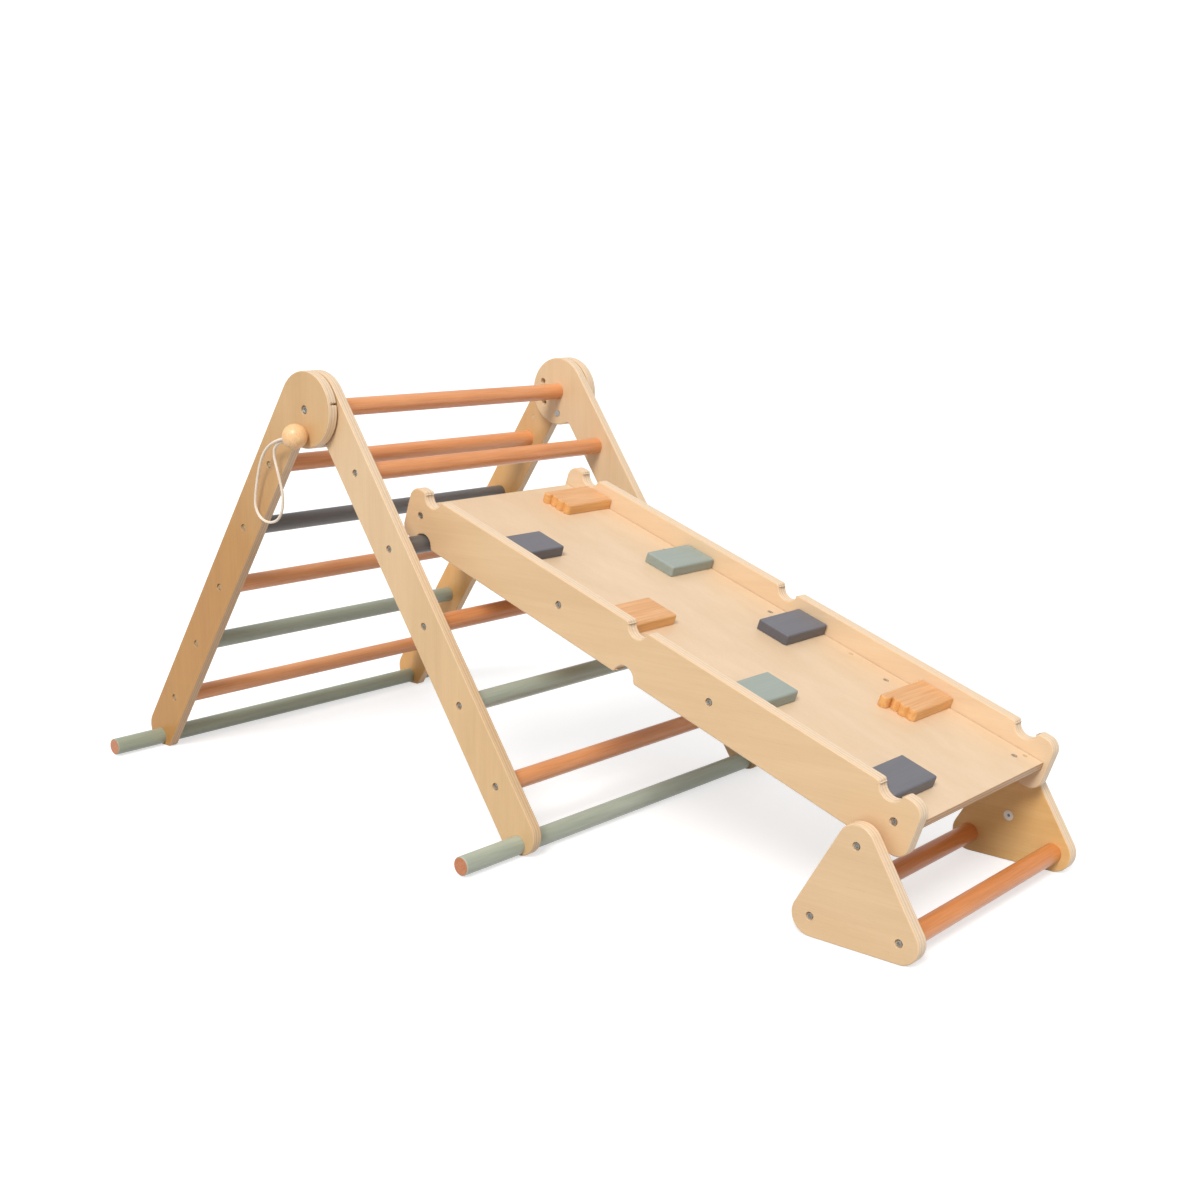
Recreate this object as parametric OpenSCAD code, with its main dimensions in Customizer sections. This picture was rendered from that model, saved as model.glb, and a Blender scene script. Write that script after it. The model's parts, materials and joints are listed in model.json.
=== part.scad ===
// Folding climbing triangle for toddlers with a reversible notched ramp and a small triangular base.
// Units are millimetres, +Z is up, +X runs from the frame towards the ramp's low end.

/* [Frame] */
// Height of the pivot axis above the floor
pivot_height = 662; // [560:1:760]
// Angle each ladder leans from upright
lean_angle = 34.16; // [28:0.01:38]
// Width over the outer ladder's rails
frame_width = 654; // [560:1:760]
// Thickness of a ladder rail
rail_thickness = 18; // [15:1:24]
// Gap between an outer rail and the inner rail beside it
rail_gap = 2.5; // [1.5:0.5:5]
// Radius of the round head of a rail
head_radius = 64; // [55:1:75]
// Distance the rail's inner edge sits inside the pivot axis
rail_inner_edge = 10; // [6:1:16]
// Radius of the rounded outer corner of a foot
foot_outer_radius = 34; // [20:1:40]
// Radius of the rounded inner corner of a foot
foot_inner_radius = 9; // [5:1:15]

/* [Rungs] */
// Diameter of every rung, bar and dowel
rung_diameter = 30; // [25:1:35]
// Distance between rungs along the rail
rung_pitch = 140; // [110:1:160]
// Distance from the pivot to the first rung along the rail
first_rung = 137; // [110:1:160]
// Distance of the rungs outward of the pivot line
rung_offset = 27; // [20:1:35]
// Height of the floor bar's axis
bar_height = 17; // [16:0.5:24]
// Distance of the floor bar outward of the pivot line
bar_offset = 20; // [14:1:30]
// Length of floor bar outside the outer ladder's rail
bar_overhang = 102; // [60:1:140]

/* [Lock] */
// Distance of the lock holes from the pivot
lock_radius = 42; // [35:1:48]
// Diameter of the lock pin
lock_pin_diameter = 12; // [8:1:14]
// Angle between neighbouring lock holes
lock_step = 57.8; // [40:0.1:60]
// Diameter of the wooden knob
knob_diameter = 42; // [34:1:50]

/* [Ramp] */
// Downward slope of the ramp
ramp_slope = 19.25; // [10:0.05:30]
// Distance from the frame's near face to the ramp's near face
ramp_near = 91; // [60:1:160]
// Width over the ramp's rails
ramp_width = 406; // [340:1:440]
// Thickness of a ramp rail
ramp_rail_thickness = 21; // [18:1:24]
// Depth of a ramp rail
ramp_rail_depth = 86; // [70:1:100]
// Length of the ramp
ramp_length = 1020; // [900:1:1100]
// Distance between notches along the ramp
notch_pitch = 457.5; // [440:0.5:470]
// Radius of a notch
notch_radius = 18.8; // [17:0.1:22]
// Thickness of the ramp's panel
panel_thickness = 12; // [9:1:15]

/* [Steps] */
// Distance between stepping blocks along the ramp
block_pitch = 122; // [110:1:130]
// Width of a block along the ramp
block_width = 61; // [50:1:64]
// Length of a block across the ramp
block_length = 112; // [90:1:120]
// Height of a block above the panel
block_height = 18; // [12:1:24]
// Radius of a block's rounded top edges
block_edge = 4; // [3:0.5:8]

/* [Base] */
// Thickness of the small base's boards
board_thickness = 21; // [18:1:24]
// Radius of a board's rounded corners
board_corner = 30; // [25:1:36]
// Half the distance between the two lower dowels
board_half_span = 69; // [55:1:85]
// Distance from the frame's near face to the near board
board_near = 59; // [30:1:66]
// Length of the base's dowels
board_dowel_length = 426; // [420:1:460]

/* [Hidden] */
$fn = 72;
rung_r = rung_diameter / 2;
// Cutting shapes run past the faces they open by this much
cut = 1;
// Joined shapes run into each other by this much
weld = 0.5;
// Distances of the rails' near faces from the frame's near face
inner_near = rail_thickness + rail_gap;
inner_far = frame_width - rail_gap - 2 * rail_thickness;
outer_far = frame_width - rail_thickness;
// Radius where the head blends into the rail's inner edge
blend_r = 5;
blend_overlap = 2;
// Straight edges sit this far inside the arcs they run into, so that they cross and don't just touch
tuck = 0.03;
rail_outer_edge = head_radius;
rung_count = 5;

// Hex-socket bolts, each sunk in a wider recess in the face it passes through
bolt_head_r = 4.4;
bolt_head_h = 3;
bolt_sink = 4.6;
bolt_shank_r = 3;
bolt_hole_r = 3.1;
bolt_recess_r = 6.2;
bolt_grip = 22;
bolt_hole_depth = 23;
socket_r = 2.3;
socket_sides = 6;
socket_depth = 1.2;

// Pivot bolts run in the outer rails and are tight in the inner rails
pivot_r = 5;
pivot_running_r = 5.05;
pivot_head_r = 6;
pivot_head_h = 3;
pivot_head_gap = 0.4;
pivot_recess_r = 7.8;
pivot_recess_depth = 5;
pivot_socket_r = 3.2;
pivot_head_y = pivot_recess_depth - pivot_head_gap - pivot_head_h;
pivot_grip = 30;
washer_r = 17;
washer_gap = 0.4;

// Lock pins
lock_pin_r = lock_pin_diameter / 2;
lock_running_gap = 0.05;
lock_hole_r = lock_pin_r + lock_running_gap;
lock_hole_count = 3;
knob_r = knob_diameter / 2;
knob_gap = 0.5;
knob_flat_r = 6;
knob_flat = sqrt(pow(knob_r, 2) - pow(knob_flat_r, 2));
tip_stand_out = 1;

// Slit in the near head's rim, and the plugs in the outer rails' inner faces
rim_slit_angle = 11;
rim_slit_depth = 7;
rim_slit_width = 3;
rim_slit_start = 6;
rail_plug_r = 5;
rail_plug_hole_r = 5.05;
rail_plug_depth = 6;
rail_plug_sink = 0.2;
rail_plug_s = 92;
rail_plug_offset = 37;

// Ramp, in distance along the slope from the rung it hooks on, and height square to the slope
notch_along = 3;
notch_below = 1.5;
ramp_bottom = -1;
ramp_top = ramp_bottom + ramp_rail_depth;
ramp_mid = notch_along + notch_pitch;
ramp_corner = 20;
notch_lip = 4.5;
panel_top = 49.5;
panel_bottom = panel_top - panel_thickness;
panel_half_length = 502.5;
ramp_bolt_outer = 476.6;
ramp_bolt_inner = 153.3;
ramp_bolt_n = panel_top - panel_thickness / 2;
ramp_bolt_grip = 34;
hook_rung = 2;
hook_s = first_rung + (hook_rung - 1) * rung_pitch;
hook_x = sin(lean_angle) * hook_s + cos(lean_angle) * rung_offset;
hook_z = pivot_height - cos(lean_angle) * hook_s + sin(lean_angle) * rung_offset;

// Stepping blocks
block_side_gap = 0.5;
block_corner = 4;
lobe_count = 4;
lobe_r = 8.4;
lobe_reach = [0, 0, 3, 1];
// How far each block's first lobe stands out, 0 for a plain block
step_reach = [5, 0, 0, 3, 0, 0, 12, 0];
step_count = 8;
panel_screw_r = 4.5;
panel_screw_depth = 8;
panel_screw_hole_r = 4.6;
panel_screw_pitch = 234;
panel_screw_inset = 53;
panel_screw_sink = 0.2;
screw_socket_r = 1.8;
screw_socket_depth = 1.5;
// Small wooden plugs over the ends of the ramp's bolts
panel_plug_r = 3.5;
panel_plug_hole_r = 3.55;
panel_plug_depth = 2.4;
panel_plug_sink = 0.1;
panel_plug_inset = 35;

// Small base
top_dowel_u = 2 * notch_pitch;
top_dowel_x = hook_x + top_dowel_u * cos(ramp_slope);
top_dowel_z = hook_z - top_dowel_u * sin(ramp_slope);
board_far = board_near + board_thickness + board_dowel_length;
insert_r = 8;
insert_bore_r = 2.5;
insert_depth = 9;
insert_x = -5;
insert_z = 72;
core_depth = 6;
insert_sink = 0.2;
core_sink = 1.2;

// Where the feet meet the floor, in the rail's own frame
foot_outer_s = (pivot_height - foot_outer_radius + (rail_outer_edge - foot_outer_radius)
    * sin(lean_angle)) / cos(lean_angle);
foot_outer_x = sin(lean_angle) * foot_outer_s
    + cos(lean_angle) * (rail_outer_edge - foot_outer_radius);
foot_inner_s = (pivot_height - foot_inner_radius + (foot_inner_radius - rail_inner_edge)
    * sin(lean_angle)) / cos(lean_angle);
bar_s = (pivot_height - bar_height + bar_offset * sin(lean_angle)) / cos(lean_angle);

// The whole object is centred over the floor
low_x = -foot_outer_x - foot_outer_radius;
high_x = top_dowel_x + board_half_span + board_corner;
mid_x = (low_x + high_x) / 2;

// Cord loop on the near knob, as distances from the near pivot point on the frame's near face
cord_r = 2.5;
cord_sides = 8;
cord_points = [
    [-12, -19, -46],
    [-24, -20, -50],
    [-42, -21, -56],
    [-55, -20, -66],
    [-59, -18, -80],
    [-57, -16, -96],
    [-53, -14, -116],
    [-50, -12, -136],
    [-51, -10, -154],
    [-57, -9, -174],
    [-71, -8, -189],
    [-93, -8, -195],
    [-114, -9, -189],
    [-125, -10, -173],
    [-123, -12, -154],
    [-116, -14, -134],
    [-108, -16, -114],
    [-99, -18, -96],
    [-88, -20, -80],
    [-74, -22, -67],
    [-58, -24, -58],
    [-40, -25, -51],
    [-24, -25, -47],
    [-12, -24, -44]
];

terracotta = [0.76, 0.42, 0.26];
sage = [0.6, 0.62, 0.53];
charcoal = [0.3, 0.28, 0.28];
slate = [0.42, 0.42, 0.44];
ply = [0.87, 0.7, 0.5];
pale_ply = [0.93, 0.79, 0.63];
oak = [0.88, 0.62, 0.4];
steel = [0.5, 0.49, 0.47];
white = [0.93, 0.92, 0.9];
grey = [0.55, 0.56, 0.57];

// Moves the working frame to the middle of the floor
module placed() {
    translate([-mid_x, -frame_width / 2, 0]) children();
}

// Turns an upright ladder part into the inner ladder, with the pivot at its origin
module front_place() {
    placed() translate([0, 0, pivot_height]) rotate([0, -lean_angle, 0]) children();
}

// The same for the outer ladder, which leans the other way
module back_place() {
    placed() translate([0, 0, pivot_height]) mirror([1, 0, 0])
        rotate([0, -lean_angle, 0]) children();
}

// Puts the pivot's near end at the origin without any lean
module pivot_place() {
    placed() translate([0, 0, pivot_height]) children();
}

// X runs down the slope and Z square to it, from the rung the ramp hooks on
module ramp_place() {
    placed() translate([hook_x, ramp_near, hook_z]) rotate([0, ramp_slope, 0]) children();
}

// X measured from the base's top dowel, Z from the floor
module stand_place() {
    placed() translate([top_dowel_x, 0, 0]) children();
}

// A rod along Y
module rod(radius, y_start, y_end) {
    translate([0, y_start, 0]) rotate([-90, 0, 0])
        cylinder(r = radius, h = y_end - y_start);
}

// A flat outline stood up in the XZ plane
module plate(y_start, thickness) {
    translate([0, y_start + thickness, 0]) rotate([90, 0, 0])
        linear_extrude(height = thickness) children();
}

// A hex-socket bolt along Y, its head's outer face at the origin, pointing into +Y
module bolt(grip, head_radius_used, head_height) {
    difference() {
        union() {
            rod(head_radius_used, 0, head_height);
            rod(bolt_shank_r, head_height - weld, head_height + grip);
        }
        translate([0, -cut, 0]) rotate([-90, 0, 0])
            cylinder(r = socket_r, h = cut + socket_depth, $fn = socket_sides);
    }
}

// Points a part that runs into +Y the other way when dir is -1
module face_side(dir) {
    if (dir > 0) children();
    else mirror([0, 1, 0]) children();
}

// A ladder rail without its holes: round head, straight leg and a foot cut level with the floor
module rail_blank(y_start) {
    blend_from_head = head_radius + blend_r - tuck;
    blend_off = rail_inner_edge + blend_r - tuck;
    blend_s = sqrt(pow(blend_from_head, 2) - pow(blend_off, 2));
    blend_c = [-blend_off, -blend_s];
    outer_c = [rail_outer_edge - foot_outer_radius, -foot_outer_s];
    inner_c = [foot_inner_radius - rail_inner_edge, -foot_inner_s];
    down = [-sin(lean_angle), -cos(lean_angle)];
    union() {
        plate(y_start, rail_thickness) circle(r = head_radius);
        plate(y_start, rail_thickness) polygon([
            [rail_outer_edge - tuck, 0],
            [rail_outer_edge - tuck, outer_c[1]],
            outer_c + (foot_outer_radius - tuck) * down,
            inner_c + (foot_inner_radius - tuck) * down,
            [tuck - rail_inner_edge, inner_c[1]],
            [tuck - rail_inner_edge, 0]
        ]);
        plate(y_start, rail_thickness) translate(outer_c) circle(r = foot_outer_radius);
        plate(y_start, rail_thickness) translate(inner_c) circle(r = foot_inner_radius);
        plate(y_start, rail_thickness) difference() {
            polygon([
                blend_c * (1 - (blend_r + blend_overlap) / blend_from_head),
                blend_c,
                [blend_overlap - rail_inner_edge, -blend_s],
                [0, -blend_s + 2 * blend_r]
            ]);
            translate(blend_c) circle(r = blend_r);
        }
    }
}

// A rail with its bolt recesses, bar hole and pivot hole; face_dir is +1 on a near rail
module ladder_rail(y_start, face_dir, pivot_hole_r) {
    y_face = face_dir > 0 ? y_start : y_start + rail_thickness;
    difference() {
        rail_blank(y_start);
        rod(pivot_hole_r, y_start - cut, y_start + rail_thickness + cut);
        translate([bar_offset, 0, -bar_s])
            rod(rung_r, y_start - cut, y_start + rail_thickness + cut);
        for (i = [0 : rung_count - 1])
            translate([rung_offset, 0, -first_rung - i * rung_pitch]) {
                rod(bolt_hole_r, y_start - cut, y_start + rail_thickness + cut);
                translate([0, y_face, 0]) face_side(face_dir)
                    rod(bolt_recess_r, -cut, bolt_sink);
            }
    }
}

// Lock holes of an inner head, one for each angle the frame can be set to
module lock_holes(y_start) {
    for (i = [0 : lock_hole_count - 1]) {
        turn = -90 - i * lock_step;
        translate([lock_radius * cos(turn), 0, lock_radius * sin(turn)])
            rod(lock_hole_r, y_start - cut, y_start + rail_thickness + cut);
    }
}

// A rung between two rails, drilled at both ends for its bolts
module rung(index, y_start, y_end) {
    translate([rung_offset, 0, -first_rung - (index - 1) * rung_pitch]) difference() {
        rod(rung_r, y_start, y_end);
        rod(bolt_hole_r, y_start - cut, y_start + bolt_hole_depth);
        rod(bolt_hole_r, y_end - bolt_hole_depth, y_end + cut);
    }
}

// The bolts of one ladder
module ladder_bolts(y_near, y_far) {
    for (i = [0 : rung_count - 1])
        translate([rung_offset, 0, -first_rung - i * rung_pitch]) {
            translate([0, y_near + bolt_sink - bolt_head_h, 0])
                bolt(rail_thickness - bolt_sink + bolt_grip, bolt_head_r, bolt_head_h);
            translate([0, y_far + rail_thickness - bolt_sink + bolt_head_h, 0])
                mirror([0, 1, 0])
                bolt(rail_thickness - bolt_sink + bolt_grip, bolt_head_r, bolt_head_h);
        }
}

module floor_bar() {
    translate([bar_offset, 0, -bar_s])
        rod(rung_r, -bar_overhang, frame_width + bar_overhang);
}

module front_rail_near() {
    color(ply) difference() {
        front_place() ladder_rail(inner_near, 1, pivot_r);
        pivot_place() lock_holes(inner_near);
    }
}

module front_rail_far() {
    color(ply) difference() {
        front_place() ladder_rail(inner_far, -1, pivot_r);
        pivot_place() lock_holes(inner_far);
    }
}

module top_rung() {
    color(terracotta) pivot_place() difference() {
        rod(rung_r, inner_near + rail_thickness, inner_far);
        rod(pivot_r, inner_near, inner_near + rail_thickness + pivot_grip);
        rod(pivot_r, inner_far - pivot_grip, inner_far + cut);
    }
}

module front_rung(index) {
    front_place() rung(index, inner_near + rail_thickness, inner_far);
}

module front_rung_1() {
    color(terracotta) front_rung(1);
}

module front_rung_2() {
    color(charcoal) front_rung(2);
}

module front_rung_3() {
    color(terracotta) front_rung(3);
}

module front_rung_4() {
    color(sage) front_rung(4);
}

module front_rung_5() {
    color(terracotta) front_rung(5);
}

module front_floor_bar() {
    color(sage) front_place() floor_bar();
}

module front_bolts() {
    color(steel) front_place() ladder_bolts(inner_near, inner_far);
}

// One pivot bolt, its head in the recess of the outer rail, whose face is at the origin
module pivot_bolt() {
    y_end = inner_near + rail_thickness + pivot_grip;
    difference() {
        union() {
            rod(pivot_head_r, pivot_head_y, pivot_head_y + pivot_head_h);
            rod(pivot_r, pivot_head_y + weld, y_end);
        }
        translate([0, pivot_head_y - cut, 0]) rotate([-90, 0, 0])
            cylinder(r = pivot_socket_r, h = cut + socket_depth, $fn = socket_sides);
    }
}

module pivot_bolts() {
    color(steel) pivot_place() {
        pivot_bolt();
        translate([0, frame_width, 0]) mirror([0, 1, 0]) pivot_bolt();
    }
}

module pivot_washer() {
    difference() {
        rod(washer_r, rail_thickness + washer_gap, inner_near);
        rod(pivot_r, 0, inner_near + cut);
    }
}

module pivot_washers() {
    color(white) pivot_place() {
        pivot_washer();
        translate([0, frame_width, 0]) mirror([0, 1, 0]) pivot_washer();
    }
}

// The tip of each lock pin, which shows on the inner rail's inner face
module pin_tip() {
    translate([0, 0, -lock_radius])
        rod(lock_hole_r, inner_near, inner_near + rail_thickness + tip_stand_out);
}

module pin_tips() {
    color(steel) pivot_place() {
        pin_tip();
        translate([0, frame_width, 0]) mirror([0, 1, 0]) pin_tip();
    }
}

module outer_rail(y_start, face_dir) {
    y_face = face_dir > 0 ? y_start : y_start + rail_thickness;
    difference() {
        back_place() ladder_rail(y_start, face_dir, pivot_running_r);
        pivot_place() translate([0, y_face, 0]) face_side(face_dir)
            rod(pivot_recess_r, -cut, pivot_recess_depth);
        pivot_place() translate([0, 0, -lock_radius])
            rod(lock_hole_r, y_start - cut, y_start + rail_thickness + cut);
    }
}

// A saw slit in the rim of a head, open towards the inner rail
module rim_slit() {
    rotate([0, -rim_slit_angle, 0])
        translate([head_radius - rim_slit_depth, rim_slit_start, -rim_slit_width / 2])
        cube([rim_slit_depth + cut, rail_thickness - rim_slit_start + cut, rim_slit_width]);
}

// Where the small plug sits on an outer rail's inner face; dir is the way that face looks
module rail_plug_place(y_face, dir) {
    back_place() translate([rail_plug_offset, y_face, -rail_plug_s]) face_side(-dir) children();
}

module back_rail_near() {
    color(ply) difference() {
        outer_rail(0, 1);
        pivot_place() rim_slit();
        rail_plug_place(rail_thickness, 1) rod(rail_plug_hole_r, -cut, rail_plug_depth);
    }
}

module back_rail_far() {
    color(ply) difference() {
        outer_rail(outer_far, -1);
        rail_plug_place(outer_far, -1) rod(rail_plug_hole_r, -cut, rail_plug_depth);
    }
}

module rail_plugs() {
    color(pale_ply) {
        rail_plug_place(rail_thickness, 1) rod(rail_plug_r, rail_plug_sink, rail_plug_depth);
        rail_plug_place(outer_far, -1) rod(rail_plug_r, rail_plug_sink, rail_plug_depth);
    }
}

module back_rung(index) {
    back_place() rung(index, rail_thickness, outer_far);
}

module back_rung_1() {
    color(terracotta) back_rung(1);
}

module back_rung_2() {
    color(charcoal) back_rung(2);
}

module back_rung_3() {
    color(terracotta) back_rung(3);
}

module back_rung_4() {
    color(sage) back_rung(4);
}

module back_rung_5() {
    color(terracotta) back_rung(5);
}

module back_floor_bar() {
    color(sage) back_place() floor_bar();
}

module back_bolts() {
    color(steel) back_place() ladder_bolts(0, outer_far);
}

// A round knob drilled for its pin, in front of the near face
module knob() {
    translate([0, -knob_flat - knob_gap, -lock_radius]) rotate([-90, 0, 0])
        rotate_extrude() difference() {
            intersection() {
                circle(r = knob_r);
                translate([0, -knob_r]) square([knob_r, knob_r + knob_flat]);
            }
            square([lock_pin_r, knob_r]);
        }
}

module shank() {
    translate([0, 0, -lock_radius])
        rod(lock_pin_r, -knob_flat - knob_gap, rail_thickness - knob_gap);
}

module lock_knob_near() {
    color(pale_ply) pivot_place() knob();
}

module lock_shank_near() {
    color(steel) pivot_place() shank();
}

module lock_knob_far() {
    color(pale_ply) pivot_place() translate([0, frame_width, 0]) mirror([0, 1, 0]) knob();
}

module lock_shank_far() {
    color(steel) pivot_place() translate([0, frame_width, 0]) mirror([0, 1, 0]) shank();
}

// Unit vector, and the frame carried along a route to sweep a round tube
function unit(v) = v / norm(v);
function tangent(p, i) = unit(p[min(i + 1, len(p) - 1)] - p[max(i - 1, 0)]);
function side_of(p, i) = unit(cross(tangent(p, i), [0, 1, 0]));
function lift_of(p, i) = cross(side_of(p, i), tangent(p, i));
function ring_point(p, i, k) = p[i] + cord_r * (
    cos(360 * k / cord_sides) * side_of(p, i) + sin(360 * k / cord_sides) * lift_of(p, i));
// A point on a smooth curve through the route's points
function route_at(p, i, t) =
    let (a = p[max(i - 1, 0)], b = p[i], c = p[i + 1], d = p[min(i + 2, len(p) - 1)])
    0.5 * ((2 * b) + (c - a) * t + (2 * a - 5 * b + 4 * c - d) * t * t
        + (3 * b - a - 3 * c + d) * t * t * t);
cord_split = 3;
cord_route = [
    for (i = [0 : len(cord_points) - 2], k = [0 : cord_split - 1])
        route_at(cord_points, i, k / cord_split),
    cord_points[len(cord_points) - 1]
];

module lock_cord() {
    rings = len(cord_route);
    points = [for (i = [0 : rings - 1], k = [0 : cord_sides - 1]) ring_point(cord_route, i, k)];
    walls = [for (i = [0 : rings - 2], k = [0 : cord_sides - 1])
        [i * cord_sides + k, i * cord_sides + (k + 1) % cord_sides,
            (i + 1) * cord_sides + (k + 1) % cord_sides, (i + 1) * cord_sides + k]];
    start = [[for (k = [cord_sides - 1 : -1 : 0]) k]];
    finish = [[for (k = [0 : cord_sides - 1]) (rings - 1) * cord_sides + k]];
    color(white) pivot_place() polyhedron(points = points, faces = concat(walls, start, finish));
}

// A notch open towards -Y of the outline, at the given distance along the ramp
module notch(along) {
    translate([along, 0]) {
        translate([0, -notch_below]) circle(r = notch_radius);
        translate([-notch_radius - notch_lip, ramp_bottom - notch_lip * 2])
            square([2 * (notch_radius + notch_lip), notch_lip * 2]);
        difference() {
            translate([-notch_radius - notch_lip, ramp_bottom - weld])
                square([2 * (notch_radius + notch_lip), notch_lip + weld]);
            translate([-notch_radius - notch_lip, ramp_bottom + notch_lip])
                circle(r = notch_lip);
            translate([notch_radius + notch_lip, ramp_bottom + notch_lip])
                circle(r = notch_lip);
        }
    }
}

module ramp_outline() {
    half = ramp_length / 2;
    inner = half - ramp_corner;
    difference() {
        union() {
            translate([ramp_mid - inner, ramp_bottom]) square([2 * inner, ramp_rail_depth]);
            translate([ramp_mid - half, ramp_bottom + ramp_corner])
                square([ramp_length, ramp_rail_depth - 2 * ramp_corner]);
            for (side = [-1, 1], end = [-1, 1])
                translate([ramp_mid + side * inner,
                    ramp_bottom + ramp_rail_depth / 2 + end * (ramp_rail_depth / 2 - ramp_corner)])
                    circle(r = ramp_corner);
        }
        for (i = [-1 : 1]) {
            notch(ramp_mid + i * notch_pitch);
            translate([0, ramp_bottom + ramp_top]) mirror([0, 1])
                notch(ramp_mid + i * notch_pitch);
        }
    }
}

ramp_bolt_places = [-ramp_bolt_outer, -ramp_bolt_inner, ramp_bolt_inner, ramp_bolt_outer];

module ramp_rail(y_start, face_dir) {
    y_face = face_dir > 0 ? y_start : y_start + ramp_rail_thickness;
    difference() {
        plate(y_start, ramp_rail_thickness) difference() {
            ramp_outline();
            for (u = ramp_bolt_places)
                translate([ramp_mid + u, ramp_bolt_n]) circle(r = bolt_hole_r);
        }
        for (u = ramp_bolt_places)
            translate([ramp_mid + u, y_face, ramp_bolt_n])
                face_side(face_dir) rod(bolt_recess_r, -cut, bolt_sink);
    }
}

module ramp_rail_near() {
    color(ply) ramp_place() ramp_rail(0, 1);
}

module ramp_rail_far() {
    color(ply) ramp_place() ramp_rail(ramp_width - ramp_rail_thickness, -1);
}

module ramp_bolts() {
    color(steel) ramp_place() for (u = ramp_bolt_places)
        translate([ramp_mid + u, 0, ramp_bolt_n]) {
            translate([0, bolt_sink - bolt_head_h, 0])
                bolt(ramp_rail_thickness - bolt_sink + ramp_bolt_grip, bolt_head_r, bolt_head_h);
            translate([0, ramp_width - bolt_sink + bolt_head_h, 0]) mirror([0, 1, 0])
                bolt(ramp_rail_thickness - bolt_sink + ramp_bolt_grip, bolt_head_r, bolt_head_h);
        }
}

// Where the panel's screws sit, along and across
module screw_places() {
    for (i = [-2 : 2], side = [panel_screw_inset, ramp_width - panel_screw_inset])
        translate([ramp_mid + i * panel_screw_pitch, side, panel_top]) children();
}

// Where the plugs over the ramp's bolts sit
module plug_places() {
    for (u = ramp_bolt_places, side = [panel_plug_inset, ramp_width - panel_plug_inset])
        translate([ramp_mid + u, side, panel_top]) children();
}

module ramp_panel() {
    y_low = ramp_rail_thickness;
    y_high = ramp_width - ramp_rail_thickness;
    color(pale_ply) ramp_place() difference() {
        translate([ramp_mid - panel_half_length, y_low, panel_bottom])
            cube([2 * panel_half_length, y_high - y_low, panel_thickness]);
        for (u = ramp_bolt_places)
            translate([ramp_mid + u, 0, ramp_bolt_n]) {
                rod(bolt_hole_r, 0, ramp_rail_thickness + ramp_bolt_grip + cut);
                rod(bolt_hole_r, ramp_width - ramp_rail_thickness - ramp_bolt_grip - cut,
                    ramp_width);
            }
        screw_places() translate([0, 0, -panel_screw_depth])
            cylinder(r = panel_screw_hole_r, h = panel_screw_depth + cut);
        plug_places() translate([0, 0, -panel_plug_depth])
            cylinder(r = panel_plug_hole_r, h = panel_plug_depth + cut);
    }
}

module panel_plugs() {
    color(pale_ply) ramp_place() plug_places() translate([0, 0, -panel_plug_depth])
        cylinder(r = panel_plug_r, h = panel_plug_depth - panel_plug_sink);
}

module panel_screws() {
    color(grey) ramp_place() screw_places() translate([0, 0, -panel_screw_depth])
        difference() {
            cylinder(r = panel_screw_r, h = panel_screw_depth - panel_screw_sink);
            translate([0, 0, panel_screw_depth - screw_socket_depth])
                cylinder(r = screw_socket_r, h = screw_socket_depth + cut, $fn = socket_sides);
        }
}

// Profile with its two upper corners rounded, from -half to half and 0 to height
module domed_profile(half, height) {
    translate([-half, 0]) square([2 * half, height - block_edge]);
    translate([-half + block_edge, 0]) square([2 * (half - block_edge), height]);
    for (side = [-1, 1])
        translate([side * (half - block_edge), height - block_edge]) circle(r = block_edge);
}

// A plain stepping block, centred along X and running from 0 along +Y
module block() {
    half = block_width / 2 - block_corner;
    intersection() {
        linear_extrude(height = block_height) {
            translate([-half, 0]) square([2 * half, block_length]);
            translate([-half - block_corner, block_corner])
                square([block_width, block_length - 2 * block_corner]);
            for (side = [-half, half], y = [block_corner, block_length - block_corner])
                translate([side, y]) circle(r = block_corner);
        }
        plate(0, block_length) domed_profile(block_width / 2, block_height);
        translate([-block_width / 2, 0, 0]) rotate([90, 0, 90])
            linear_extrude(height = block_width)
            translate([block_length / 2, 0]) domed_profile(block_length / 2, block_height);
    }
}

// The same with four upright lobes on its -Y end, the first of them reaching further out
module wavy_block(reach) {
    lobe_pitch = block_width / lobe_count;
    intersection() {
        plate(-reach, block_length + reach) domed_profile(block_width / 2, block_height);
        translate([-block_width / 2, 0, 0]) rotate([90, 0, 90])
            linear_extrude(height = block_width)
            translate([(block_length - reach) / 2, 0])
            domed_profile((block_length + reach) / 2, block_height);
        linear_extrude(height = block_height) {
            translate([-block_width / 2, lobe_r]) square([block_width, block_length - lobe_r]);
            for (i = [0 : lobe_count - 1]) {
                out = i == 0 ? reach : lobe_reach[i];
                translate([-block_width / 2 + (i + 0.5) * lobe_pitch, lobe_r - out]) {
                    circle(r = lobe_r);
                    translate([-lobe_pitch / 2, 0]) square([lobe_pitch, lobe_r + reach]);
                }
            }
        }
    }
}

// Odd blocks sit against the far rail and even ones against the near rail
module step_place(index) {
    near = index % 2 == 0;
    y_low = near ? ramp_rail_thickness + block_side_gap + step_reach[index - 1]
        : ramp_width - ramp_rail_thickness - block_side_gap - block_length;
    ramp_place()
        translate([ramp_mid + (index - (step_count + 1) / 2) * block_pitch, y_low, panel_top])
        children();
}

module step_block_1() {
    color(oak) step_place(1) wavy_block(step_reach[0]);
}

module step_block_2() {
    color(slate) step_place(2) block();
}

module step_block_3() {
    color(sage) step_place(3) block();
}

module step_block_4() {
    color(oak) step_place(4) wavy_block(step_reach[3]);
}

module step_block_5() {
    color(slate) step_place(5) block();
}

module step_block_6() {
    color(sage) step_place(6) block();
}

module step_block_7() {
    color(oak) step_place(7) wavy_block(step_reach[6]);
}

module step_block_8() {
    color(slate) step_place(8) block();
}

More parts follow.
